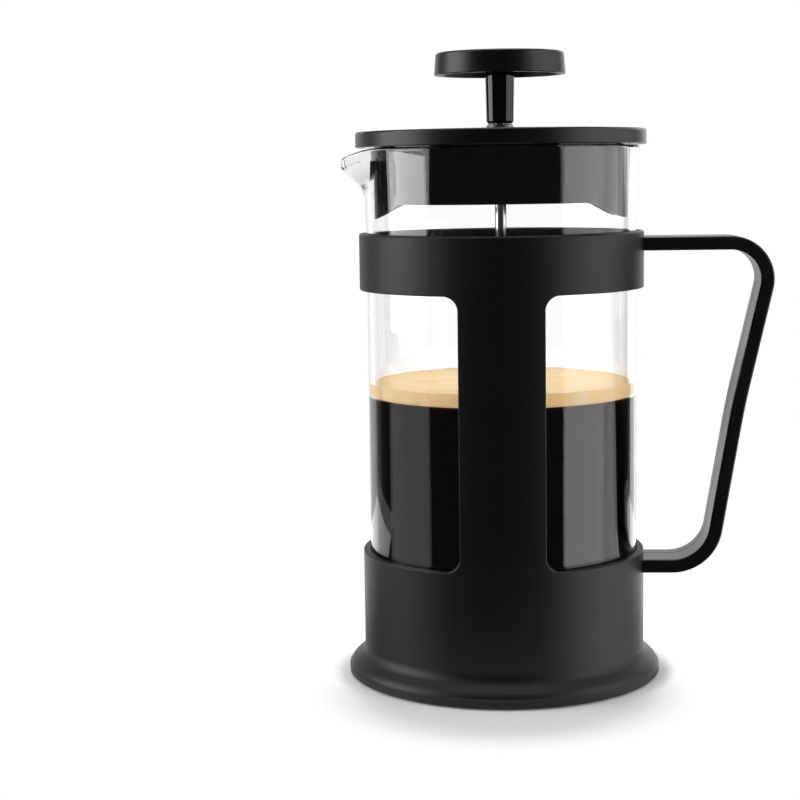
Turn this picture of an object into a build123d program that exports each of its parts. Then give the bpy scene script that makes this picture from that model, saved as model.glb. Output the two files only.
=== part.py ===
from build123d import *

import os
from math import cos, pi, radians, sin, sqrt, tan

# French press, one-litre (8-cup) size. Millimetres.
# The origin is the centre of the base on the table. +Z is up, +X points to the handle,
# and the beaker's spout points to -X. The holder's two straps stand at -Y and +Y.

# ---- driving dimensions ----
running_gap = 0.05            # radial clearance of the rod and the lid on the bush
rest_gap = 0.1                # between faces of different bodies that rest on each other

glass_radius = 48.0           # outside of the beaker's straight wall
glass_wall = 2.0
glass_foot_z = 9.0            # underside of the beaker
glass_floor = 3.0             # thickness of its bottom
glass_heel_radius = 10.0      # rounding between bottom and wall, outside
glass_flare_z = 157.0         # the wall starts to open here, up to the rim
glass_flare_middle_z = 172.0  # half of the opening is reached here
glass_rim_radius = 49.3
glass_rim_z = 189.7
spout_root_z = 174.0          # the spout leaves the wall here
spout_tip_reach = 56.9        # distance of the lip's tip from the axis
spout_tip_z = 186.0
spout_nose_radius = 7.0

holder_radius = 50.7          # outside of the base cup and the ring
holder_inner_radius = 48.3
base_top_z = 45.5
ring_bottom_z = 139.5
ring_top_z = 159.5
strap_half_width = 14.7
window_corner_radius = 5.0
window_edge_round = 0.45
flange_radius = 56.4
flange_bottom_z = 0.5
flange_rim_z = 3.75           # crease between the flange's upright rim and its rounded shoulder
flange_rim_inset = 0.45
flange_shoulder_round = 4.5   # convex
flange_cove_round = 4.5       # concave, up to the wall
flange_slope_deg = 40.0       # slope where the two roundings meet
flange_shoulder_deg = 70.0    # slope of the shoulder at the crease
ledge_z = 3.4                 # the base plate's lip is held under this ledge
ledge_radius = 50.5
plate_lip_z = 2.0
floor_bottom_z = 4.0
floor_top_z = 6.6
floor_rib_radius = 45.5
drain_radius = 12.0

foot_ring_inner = 52.0        # silicone ring under the flange
foot_ring_outer = 54.6
foot_ring_height = 1.3
cushion_inner = 27.0          # silicone ring under the beaker
cushion_outer = 37.0
cushion_seat = 0.5            # how deep it sits in the floor

handle_width = 19.4
handle_thickness = 4.8
handle_edge_round = 0.8
handle_top_z = 154.9          # centre line of the upper arm
handle_low_z = 39.6           # centre line of the lower arm
handle_start_x = 47.0
handle_top_bend = 12.9
handle_low_bend = 15.6
handle_bow_radius = 256.0
groove_offset = 3.1           # decorative groove along the grip's inner face
groove_width = 0.5
groove_depth = 0.35

screw_radius = 1.5
screw_head_height = 1.3       # the head's cone has a 45 degree flank
screw_head_sink = 0.2         # how far the head lies below the frame's inner wall
screw_length = 13.0
screw_spacing = 10.4

cap_radius = 51.5
cap_bottom_z = 189.8
cap_edge_top_z = 195.2
cap_crown = 0.3
strainer_flange_radius = 48.75
strainer_flange_top_z = 192.0
skirt_radius = 45.0
skirt_wall = 1.7
skirt_bottom_z = 169.9
lobe_bottom_z = 164.5
lobe_spout_x = -34.6          # the skirt's edge starts to slope down here, spout side
lobe_handle_x = 30.7          # and here, handle side
slot_count = 16
slot_pitch_deg = 5.0
slot_width = 2.2
slot_top_z = 185.0
slot_edge_margin = 3.0

bush_flange_radius = 5.3
bush_collar_radius = 4.6      # the collar narrows upwards to the stem
bush_sleeve_radius = 3.6
bush_top_z = 197.5
bush_foot_radius = 4.7

rod_radius = 2.1
rod_bottom_z = 14.6
rod_top_z = 213.0

knob_top_radius = 22.7
knob_bottom_radius = 23.2
knob_bottom_z = 214.7
knob_top_z = 222.5
knob_wall = 2.2
stem_bottom_z = 197.6
stem_bottom_radius = 4.85
stem_top_radius = 5.3
insert_radius = 3.4
insert_bottom_z = 203.0

hub_bottom_z = 14.0
cross_plate_z = 18.6          # underside of the lower plate
cross_plate_radius = 42.6
plate_thickness = 0.8
mesh_thickness = 0.3
mesh_radius = 45.7
mesh_lip_z = 23.6
spring_radius = 43.85         # to the centre of the coil
spring_coil_radius = 1.4
spiral_plate_radius = 42.2
spiral_plate_rise = 2.6
collar_radius = 5.0
collar_height = 5.0


# ---- helpers ----
def tube(outer, inner, low, high):
    """An upright ring between two heights."""
    ring = Circle(outer) - Circle(inner)
    return extrude(Pos(0, 0, low) * ring, high - low)


def turned(outline):
    """A solid of revolution about Z from a closed outline in the XZ plane."""
    return revolve(Plane.XZ * outline, Axis.Z)


def save(shape, node):
    """Write one sub-part to its own file."""
    export_step(shape, f"parts/{node}.step")


# ---- holder ----
def frame_profile():
    """Half section of the frame: flared foot with a ledge inside for the base plate, and a straight wall."""
    slope = radians(flange_slope_deg)
    steep = radians(flange_shoulder_deg)
    middle = 0.5 * (slope + steep)
    centre_x = flange_radius - flange_rim_inset - flange_shoulder_round * sin(steep)
    centre_z = flange_rim_z - flange_shoulder_round * cos(steep)
    shoulder_x = centre_x + flange_shoulder_round * sin(slope)
    shoulder_z = centre_z + flange_shoulder_round * cos(slope)
    cove_x = holder_radius + flange_cove_round * (1 - sin(slope))
    cove_z = shoulder_z + tan(slope) * (shoulder_x - cove_x)
    wall_z = cove_z + flange_cove_round * cos(slope)
    cove_middle = 0.5 * (pi / 2 - slope)
    with BuildSketch() as section:
        with BuildLine():
            Polyline(
                (holder_inner_radius, ledge_z),
                (ledge_radius, ledge_z),
                (ledge_radius, flange_bottom_z),
                (foot_ring_inner, flange_bottom_z),
                (foot_ring_inner, foot_ring_height),
                (foot_ring_outer, foot_ring_height),
                (foot_ring_outer, flange_bottom_z),
                (flange_radius - 0.5, flange_bottom_z),
                (flange_radius, flange_bottom_z + 0.5),
                (flange_radius, flange_rim_z - flange_rim_inset),
                (flange_radius - flange_rim_inset, flange_rim_z),
            )
            ThreePointArc(
                (flange_radius - flange_rim_inset, flange_rim_z),
                (centre_x + flange_shoulder_round * sin(middle), centre_z + flange_shoulder_round * cos(middle)),
                (shoulder_x, shoulder_z),
            )
            Line((shoulder_x, shoulder_z), (cove_x, cove_z))
            ThreePointArc(
                (cove_x, cove_z),
                (
                    holder_radius + flange_cove_round * (1 - cos(cove_middle)),
                    wall_z - flange_cove_round * sin(cove_middle),
                ),
                (holder_radius, wall_z),
            )
            Polyline(
                (holder_radius, wall_z),
                (holder_radius, ring_top_z - 0.5),
                (holder_radius - 0.5, ring_top_z),
                (holder_inner_radius + 0.4, ring_top_z),
                (holder_inner_radius, ring_top_z - 0.4),
                (holder_inner_radius, ledge_z),
            )
        make_face()
    return section.sketch


def window_cutter():
    """A prism along Y that opens the wall beside the straps; its corners next to the strap are round."""
    reach = flange_radius + 10
    height = ring_bottom_z - base_top_z
    outline = Pos((strap_half_width + reach) / 2, (base_top_z + ring_bottom_z) / 2) * Rectangle(
        reach - strap_half_width, height
    )
    corners = outline.vertices().sort_by(Axis.X)[:2]
    outline = fillet(corners, window_corner_radius)
    return extrude(Plane.XZ * outline, 2 * reach, both=True)


def screw_places():
    """Centre lines of the handle's screws: two side by side at each arm."""
    return [(y, z) for z in (handle_low_z, handle_top_z) for y in (-screw_spacing / 2, screw_spacing / 2)]


def along_x(x, y, z):
    """A plane whose normal points to +X, to build what lies along the handle's screws."""
    return Plane(origin=(x, y, z), x_dir=(0, 1, 0), z_dir=(1, 0, 0))


def screw_cone(x, y, z, extra):
    """The 45 degree cone of a screw's head, made larger all round for its seat."""
    depth = screw_head_height + extra
    return loft(
        [
            along_x(x - extra, y, z) * Circle(screw_radius + depth + extra),
            along_x(x + screw_head_height, y, z) * Circle(screw_radius + extra),
        ]
    )


def window_outer_edges(body):
    """The edges that the two windows leave on the frame's outer wall."""
    edges = []
    for edge in body.edges():
        box = edge.bounding_box()
        middle = edge.center()
        in_window = base_top_z - 0.1 <= box.min.Z and box.max.Z <= ring_bottom_z + 0.1
        on_wall = abs(sqrt(middle.X**2 + middle.Y**2) - holder_radius) < 0.6
        if in_window and on_wall:
            edges.append(edge)
    return edges


def holder_frame():
    """One moulding: flared base cup, two straps and the ring, with seats for the handle's screws."""
    body = turned(frame_profile())
    window = window_cutter()
    body = body - window - mirror(window, Plane.YZ)
    for y, z in screw_places():
        face_x = sqrt(holder_inner_radius**2 - y**2)
        body -= extrude(along_x(face_x - 5, y, z) * Circle(screw_radius + 0.1), 12)
        body -= screw_cone(face_x + screw_head_sink, y, z, 0.1)
        body -= extrude(along_x(face_x - 3, y, z) * Circle(screw_radius + screw_head_height + 0.2), 3.1)
    return fillet(window_outer_edges(body), window_edge_round)


def handle_path():
    """Centre line of the strap: upper arm, grip with a slight bow, lower arm."""
    return FilletPolyline(
        (handle_start_x, 0, handle_top_z),
        (96.7, 0, handle_top_z),
        (83.6, 0, 98.0),
        (73.6, 0, handle_low_z),
        (handle_start_x, 0, handle_low_z),
        radius=[handle_top_bend, handle_bow_radius, handle_low_bend],
    )


def handle():
    """Flat strap handle, hollowed at both ends to the frame's curve and drilled for its screws."""
    start = along_x(handle_start_x, 0, handle_top_z)
    strap = sweep(start * RectangleRounded(handle_width, handle_thickness, handle_edge_round), path=handle_path())
    groove_section = Pos(groove_offset, -handle_thickness / 2 + groove_depth / 2) * Rectangle(groove_width, groove_depth)
    groove = sweep(start * groove_section, path=handle_path())
    strap = strap - groove - Cylinder(holder_radius, 400)
    for y, z in screw_places():
        strap -= extrude(along_x(holder_inner_radius, y, z) * Circle(screw_radius), screw_length + 1)
    return strap


def handle_screws():
    """Four countersunk screws with a hexagon socket, from inside the frame into the handle's ends."""
    screws = []
    for y, z in screw_places():
        face_x = sqrt(holder_inner_radius**2 - y**2)
        seat_x = face_x + screw_head_sink
        shank = extrude(along_x(seat_x, y, z) * Circle(screw_radius), screw_length)
        head = screw_cone(seat_x, y, z, 0)
        socket = extrude(along_x(seat_x - 1, y, z) * RegularPolygon(1.0, 6), 2.0)
        screws.append(shank + head - socket)
    return Compound(screws)


def base_plate():
    """Floor of the base cup, clipped in from below, with a seat for the cushion and a drain hole."""
    with BuildSketch() as section:
        with BuildLine():
            Polyline(
                (drain_radius, floor_bottom_z),
                (floor_rib_radius, floor_bottom_z),
                (floor_rib_radius, plate_lip_z),
                (ledge_radius, plate_lip_z),
                (ledge_radius, ledge_z),
                (holder_inner_radius, ledge_z),
                (holder_inner_radius, floor_top_z),
                (cushion_outer, floor_top_z),
                (cushion_outer, floor_top_z - cushion_seat),
                (cushion_inner, floor_top_z - cushion_seat),
                (cushion_inner, floor_top_z),
                (drain_radius, floor_top_z),
                (drain_radius, floor_bottom_z),
            )
        make_face()
    return turned(section.sketch)


def anti_slip_ring():
    """Silicone ring in the groove under the flange."""
    return tube(foot_ring_outer, foot_ring_inner, 0, foot_ring_height)


def beaker_cushion():
    """Silicone ring on the base plate that the glass stands on."""
    return tube(cushion_outer, cushion_inner, floor_top_z - cushion_seat, glass_foot_z - rest_gap)


# ---- glass ----
def wall_outline(radius, foot_z, heel, flare):
    """Half section of a beaker-shaped solid: flat bottom, round heel, straight wall, flared top."""
    with BuildSketch() as section:
        with BuildLine():
            Line((0, foot_z), (radius - heel, foot_z))
            RadiusArc((radius - heel, foot_z), (radius, foot_z + heel), -heel)
            Line((radius, foot_z + heel), (radius, glass_flare_z))
            Spline(
                (radius, glass_flare_z),
                (radius + 0.5 * flare, glass_flare_middle_z),
                (radius + flare, glass_rim_z - 0.8),
                tangents=[(0, 1), (0.08, 1)],
            )
            Polyline(
                (radius + flare, glass_rim_z - 0.8),
                (radius + flare, glass_rim_z + 2),
                (0, glass_rim_z + 2),
                (0, foot_z),
            )
        make_face()
    return section.sketch


def spout_slice(reach, nose, body, height):
    """Level slice of the spout: a round nose joined to the wall's circle by its two tangents."""
    d = reach - nose
    c = (body - nose) / d
    s = sqrt(1 - c * c)
    with BuildSketch(Plane.XY.offset(height)) as level:
        with BuildLine():
            Line((-body * c, body * s), (-d - nose * c, nose * s))
            ThreePointArc((-d - nose * c, nose * s), (-reach, 0), (-d - nose * c, -nose * s))
            Line((-d - nose * c, -nose * s), (-body * c, -body * s))
            ThreePointArc((-body * c, -body * s), (body, 0), (-body * c, body * s))
        make_face()
    return level.sketch


def spout_block(shrink, body):
    """The pulled-out spout as a solid, shrunk by the wall for its inside."""
    low_reach = glass_radius + 0.5 - shrink
    slope = (spout_tip_reach - glass_radius - 0.5) / (spout_tip_z - spout_root_z)
    top_z = glass_rim_z + 2
    top_reach = low_reach + slope * (top_z - spout_root_z)
    nose = spout_nose_radius - shrink
    return loft(
        [
            spout_slice(low_reach, nose, body, spout_root_z),
            spout_slice(top_reach, nose, body, top_z),
        ],
        ruled=True,
    )


def rim_trim():
    """What lies above the rim, which dips towards the spout's tip."""
    dip_start = glass_radius - 7
    with BuildSketch(Plane.XZ) as side:
        with BuildLine():
            Polyline(
                (80, glass_rim_z),
                (-dip_start, glass_rim_z),
                (-spout_tip_reach, spout_tip_z + 0.6),
                (-80, spout_tip_z - 7),
                (-80, 220),
                (80, 220),
                (80, glass_rim_z),
            )
        make_face()
    return extrude(side.sketch, 80, both=True)


def glass_beaker():
    """Beaker with a round heel, a flared rim and a pulled spout."""
    flare = glass_rim_radius - glass_radius
    outside = turned(wall_outline(glass_radius, glass_foot_z, glass_heel_radius, flare))
    outside += spout_block(0, glass_radius - 1.0)
    inner_heel = glass_heel_radius - glass_wall
    inner_foot = glass_foot_z + glass_floor
    inside = turned(wall_outline(glass_radius - glass_wall, inner_foot, inner_heel, flare))
    inside += spout_block(glass_wall, glass_radius - glass_wall - 1.0)
    return outside - inside - rim_trim()


# ---- lid ----
def lid_cap():
    """Matte cap: crowned disc with a recess below for the strainer's flange."""
    crown_z = cap_edge_top_z + cap_crown
    with BuildSketch() as section:
        with BuildLine():
            Polyline(
                (bush_sleeve_radius + running_gap, strainer_flange_top_z),
                (strainer_flange_radius, strainer_flange_top_z),
                (strainer_flange_radius, cap_bottom_z),
                (cap_radius - 0.3, cap_bottom_z),
                (cap_radius, cap_bottom_z + 0.3),
                (cap_radius, cap_edge_top_z - 0.9),
            )
            RadiusArc((cap_radius, cap_edge_top_z - 0.9), (cap_radius - 0.9, cap_edge_top_z), -0.9)
            ThreePointArc(
                (cap_radius - 0.9, cap_edge_top_z),
                (cap_radius / 2, cap_edge_top_z + 0.75 * cap_crown),
                (bush_flange_radius + 1.0, crown_z),
            )
            Polyline(
                (bush_flange_radius + 1.0, crown_z),
                (bush_sleeve_radius + running_gap, crown_z),
                (bush_sleeve_radius + running_gap, strainer_flange_top_z),
            )
        make_face()
    return turned(section.sketch)


def skirt_trim():
    """Prism along Y below the skirt's edge: level in front, sloping down to a lobe at each side."""
    low_z = lobe_bottom_z - 10
    reach = skirt_radius + 5
    slope = (skirt_bottom_z - lobe_bottom_z) / (skirt_radius + lobe_spout_x)
    with BuildSketch(Plane.XZ) as side:
        with BuildLine():
            Polyline(
                (-reach, low_z),
                (-reach, skirt_bottom_z - slope * (reach + lobe_spout_x)),
                (lobe_spout_x, skirt_bottom_z),
                (lobe_handle_x, skirt_bottom_z),
                (lobe_handle_x + 8.5, lobe_bottom_z + 0.9),
            )
            RadiusArc((lobe_handle_x + 8.5, lobe_bottom_z + 0.9), (skirt_radius - 2, lobe_bottom_z), -10)
            RadiusArc((skirt_radius - 2, lobe_bottom_z), (skirt_radius + 0.2, lobe_bottom_z + 2.2), -2.2)
            Polyline(
                (skirt_radius + 0.2, lobe_bottom_z + 2.2),
                (reach, lobe_bottom_z + 2.2),
                (reach, low_z),
                (-reach, low_z),
            )
        make_face()
    return extrude(side.sketch, reach, both=True)


def grille_slot(angle):
    """One upright slot of the grille, round at both ends; its foot follows the sloping edge."""
    x = -skirt_radius * cos(radians(angle))
    slope = (skirt_bottom_z - lobe_bottom_z) / (skirt_radius + lobe_spout_x)
    foot_z = lobe_bottom_z + slope * (x + skirt_radius) + slot_edge_margin
    length = slot_top_z - foot_z
    outline = Pos(0, (slot_top_z + foot_z) / 2) * SlotOverall(length, slot_width, rotation=90)
    cutter = extrude(Plane.YZ.offset(-skirt_radius - 3) * outline, 8)
    return Rot(0, 0, angle) * cutter


def lid_strainer():
    """Glossy skirt with its flange; the grille of slots faces the spout."""
    flange = tube(strainer_flange_radius, bush_sleeve_radius + running_gap, cap_bottom_z, strainer_flange_top_z)
    skirt = tube(skirt_radius, skirt_radius - skirt_wall, lobe_bottom_z - 2, cap_bottom_z)
    body = flange + skirt - skirt_trim()
    first = -(slot_count - 1) / 2
    for i in range(slot_count):
        body -= grille_slot((first + i) * slot_pitch_deg)
    return body


def rod_bush():
    """Flanged eyelet through the lid, with a small foot that holds it in."""
    crown_z = cap_edge_top_z + cap_crown
    sleeve = tube(bush_sleeve_radius, rod_radius + running_gap, cap_bottom_z - 1.6, bush_top_z - 0.2)
    bore = rod_radius + running_gap
    with BuildSketch() as section:
        with BuildLine():
            Polyline(
                (bore, crown_z + running_gap),
                (bush_flange_radius, crown_z + running_gap),
                (bush_flange_radius, crown_z + 0.5),
                (bush_collar_radius, bush_top_z - 0.3),
                (bush_collar_radius - 0.3, bush_top_z),
                (bore, bush_top_z),
                (bore, crown_z + running_gap),
            )
        make_face()
    flange = turned(section.sketch)
    foot = tube(bush_foot_radius, rod_radius + running_gap, cap_bottom_z - 1.6, cap_bottom_z - running_gap)
    return sleeve + flange + foot


# ---- plunger ----
def plunger_knob():
    """Flat round knob, hollow underneath, slightly wider at its lower edge."""
    ceiling_z = knob_top_z - knob_wall
    with BuildSketch() as section:
        with BuildLine():
            Polyline(
                (stem_top_radius, ceiling_z),
                (knob_top_radius - knob_wall - 1.2, ceiling_z),
                (knob_bottom_radius - knob_wall, knob_bottom_z),
                (knob_bottom_radius - 0.3, knob_bottom_z),
                (knob_bottom_radius, knob_bottom_z + 0.3),
                (knob_top_radius, knob_top_z - 1.0),
            )
            RadiusArc((knob_top_radius, knob_top_z - 1.0), (knob_top_radius - 1.0, knob_top_z), -1.0)
            Polyline(
                (knob_top_radius - 1.0, knob_top_z),
                (0, knob_top_z),
                (0, ceiling_z),
                (stem_top_radius, ceiling_z),
            )
        make_face()
    return turned(section.sketch)


def knob_stem():
    """Tapered stem from the lid's bush up to the knob's ceiling, bored for the rod and its insert."""
    ceiling_z = knob_top_z - knob_wall
    with BuildSketch() as section:
        with BuildLine():
            Polyline(
                (rod_radius, stem_bottom_z),
                (stem_bottom_radius - 0.7, stem_bottom_z),
                (stem_bottom_radius, stem_bottom_z + 0.9),
                (stem_top_radius, ceiling_z),
                (0, ceiling_z),
                (0, rod_top_z),
                (insert_radius, rod_top_z),
                (insert_radius, insert_bottom_z),
                (rod_radius, insert_bottom_z),
                (rod_radius, stem_bottom_z),
            )
        make_face()
    return turned(section.sketch)


def knob_insert():
    """Threaded brass insert moulded into the stem, with two grip grooves round it."""
    body = tube(insert_radius, rod_radius, insert_bottom_z, rod_top_z)
    for share in (1 / 3, 2 / 3):
        z = insert_bottom_z + share * (rod_top_z - insert_bottom_z)
        body -= tube(insert_radius + 1, insert_radius - 0.35, z - 0.5, z + 0.5)
    return body


def plunger_rod():
    """Round rod, chamfered at both ends, with a thread run-out groove below the stop collar."""
    rod = extrude(Pos(0, 0, rod_bottom_z) * Circle(rod_radius), rod_top_z - rod_bottom_z)
    rod = chamfer(rod.edges().filter_by(GeomType.CIRCLE), 0.4)
    return rod


# ---- filter stack ----
def hole_ring(radius, count, distance, first_angle=0.0):
    """Round holes spaced evenly on a circle, as tall cutters."""
    cutters = []
    for i in range(count):
        angle = radians(first_angle + 360 * i / count)
        cutters.append(Pos(distance * cos(angle), distance * sin(angle), cross_plate_z) * Cylinder(radius, 30))
    return cutters


def cross_plate():
    """Lower plate: rim turned up, six large holes and six small ones between them."""
    low = cross_plate_z
    with BuildSketch() as section:
        with BuildLine():
            Polyline(
                (rod_radius, low),
                (cross_plate_radius, low),
                (cross_plate_radius, low + 0.8),
                (cross_plate_radius - 0.8, low + plate_thickness),
                (rod_radius, low + plate_thickness),
                (rod_radius, low),
            )
        make_face()
    plate = turned(section.sketch)
    for cutter in hole_ring(8.0, 6, 24.5) + hole_ring(3.2, 6, 34.5, 30) + hole_ring(1.8, 6, 14.5, 30):
        plate -= cutter
    return plate


def mesh_screen():
    """Fine woven screen: flat disc with its edge turned up round the spring."""
    low = cross_plate_z + plate_thickness
    flat = tube(mesh_radius, rod_radius, low, low + mesh_thickness)
    lip = tube(mesh_radius, mesh_radius - mesh_thickness, low, mesh_lip_z)
    return flat + lip


def spiral_spring():
    """The coil round the filter's edge, as the ring-shaped space that its turns fill."""
    low = cross_plate_z + plate_thickness + mesh_thickness
    return Pos(0, 0, low + spring_coil_radius + 0.02) * Torus(spring_radius, spring_coil_radius)


def spiral_plate():
    """Upper plate: shallow dome pierced by rings of small holes."""
    low = cross_plate_z + plate_thickness + mesh_thickness
    top = low + spiral_plate_rise
    with BuildSketch() as section:
        with BuildLine():
            Polyline(
                (rod_radius, top),
                (10, top),
                (spiral_plate_radius - 5, low),
                (spiral_plate_radius, low),
                (spiral_plate_radius, low + plate_thickness),
                (spiral_plate_radius - 5, low + plate_thickness),
                (10, top + plate_thickness),
                (rod_radius, top + plate_thickness),
                (rod_radius, top),
            )
        make_face()
    plate = turned(section.sketch)
    for cutter in hole_ring(1.6, 12, 17) + hole_ring(1.9, 18, 25, 10) + hole_ring(1.9, 24, 33):
        plate -= cutter
    return plate


def rod_stop_collar():
    """Collar on the rod that the stack is clamped against, with a hexagon for a spanner."""
    low = cross_plate_z + 2 * plate_thickness + mesh_thickness + spiral_plate_rise
    hexagon = extrude(Pos(0, 0, low) * RegularPolygon(collar_radius, 6), collar_height)
    return hexagon - Cylinder(rod_radius, 200)


def hub_nut():
    """Threaded hub under the lower plate."""
    flange = tube(8.0, rod_radius, cross_plate_z - 1.4, cross_plate_z)
    hexagon = extrude(Pos(0, 0, hub_bottom_z) * RegularPolygon(5.2, 6), cross_plate_z - 1.4 - hub_bottom_z)
    return flange + (hexagon - Cylinder(rod_radius, 100))


os.makedirs("parts", exist_ok=True)

for make in (
    holder_frame,
    handle,
    handle_screws,
    base_plate,
    anti_slip_ring,
    beaker_cushion,
    glass_beaker,
    lid_cap,
    lid_strainer,
    rod_bush,
    plunger_knob,
    knob_stem,
    knob_insert,
    plunger_rod,
    rod_stop_collar,
    spiral_plate,
    spiral_spring,
    mesh_screen,
    cross_plate,
    hub_nut,
):
    save(make(), make.__name__)
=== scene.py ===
import logging
import math
from dataclasses import dataclass, field
from enum import Enum
from typing import Any, Optional, Sequence, Union

import bmesh
import bpy
import numpy as np
from mathutils import Matrix, Vector


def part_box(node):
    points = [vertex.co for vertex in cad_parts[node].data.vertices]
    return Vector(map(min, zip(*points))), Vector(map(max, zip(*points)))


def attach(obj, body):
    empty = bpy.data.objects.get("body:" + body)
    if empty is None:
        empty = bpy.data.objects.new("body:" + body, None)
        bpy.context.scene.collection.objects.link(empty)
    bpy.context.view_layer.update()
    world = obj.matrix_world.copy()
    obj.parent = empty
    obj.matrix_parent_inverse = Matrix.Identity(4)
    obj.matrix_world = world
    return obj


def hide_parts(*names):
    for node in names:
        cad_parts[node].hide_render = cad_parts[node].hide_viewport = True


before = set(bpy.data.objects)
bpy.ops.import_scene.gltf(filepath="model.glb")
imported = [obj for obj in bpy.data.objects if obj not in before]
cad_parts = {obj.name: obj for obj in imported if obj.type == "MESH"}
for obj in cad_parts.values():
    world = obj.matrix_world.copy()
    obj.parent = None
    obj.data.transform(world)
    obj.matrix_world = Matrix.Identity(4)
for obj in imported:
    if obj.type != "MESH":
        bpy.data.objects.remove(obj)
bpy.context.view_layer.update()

MM = 0.001
TURN = 2 * math.pi

Colour = tuple[float, float, float]
Point = tuple[float, float, float]
Array = np.ndarray
WHITE: Colour = (1.0, 1.0, 1.0)
log = logging.getLogger("french_press")


# ---------------------------------------------------------------- shader maths


class Wire:
    """One output socket of a node. Arithmetic on wires adds Math nodes."""

    def __init__(self, graph: "Graph", socket: bpy.types.NodeSocket) -> None:
        """Remember the graph and the socket.

        Args:
            graph: The node tree that the socket belongs to.
            socket: The output socket.
        """
        self.graph = graph
        self.socket = socket

    def maths(self, operation: str, first: "Value", second: "Value" = 0.0) -> "Wire":
        """Add one Math node.

        Args:
            operation: Blender's name of the operation.
            first: Its first value.
            second: Its second value.

        Returns:
            The node's result.
        """
        return self.graph.add("ShaderNodeMath", {"operation": operation}, {0: first, 1: second})

    def __add__(self, other: "Value") -> "Wire":
        """Self plus other."""
        return self.maths("ADD", self, other)

    __radd__ = __add__

    def __sub__(self, other: "Value") -> "Wire":
        """Self minus other."""
        return self.maths("SUBTRACT", self, other)

    def __rsub__(self, other: "Value") -> "Wire":
        """Other minus self."""
        return self.maths("SUBTRACT", other, self)

    def __mul__(self, other: "Value") -> "Wire":
        """Self times other."""
        return self.maths("MULTIPLY", self, other)

    __rmul__ = __mul__

    def __truediv__(self, other: "Value") -> "Wire":
        """Self divided by other."""
        return self.maths("DIVIDE", self, other)

    def __pow__(self, other: "Value") -> "Wire":
        """Self to the power of other."""
        return self.maths("POWER", self, other)

    def sine(self) -> "Wire":
        """The sine of self, in radians."""
        return self.maths("SINE", self)

    def size(self) -> "Wire":
        """The absolute value of self."""
        return self.maths("ABSOLUTE", self)

    def above(self, limit: float) -> "Wire":
        """One where self is above the limit, else zero."""
        return self.maths("GREATER_THAN", self, limit)

    def largest(self, other: "Value") -> "Wire":
        """The larger of self and other."""
        return self.maths("MAXIMUM", self, other)


Value = Union[Wire, float]


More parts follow.
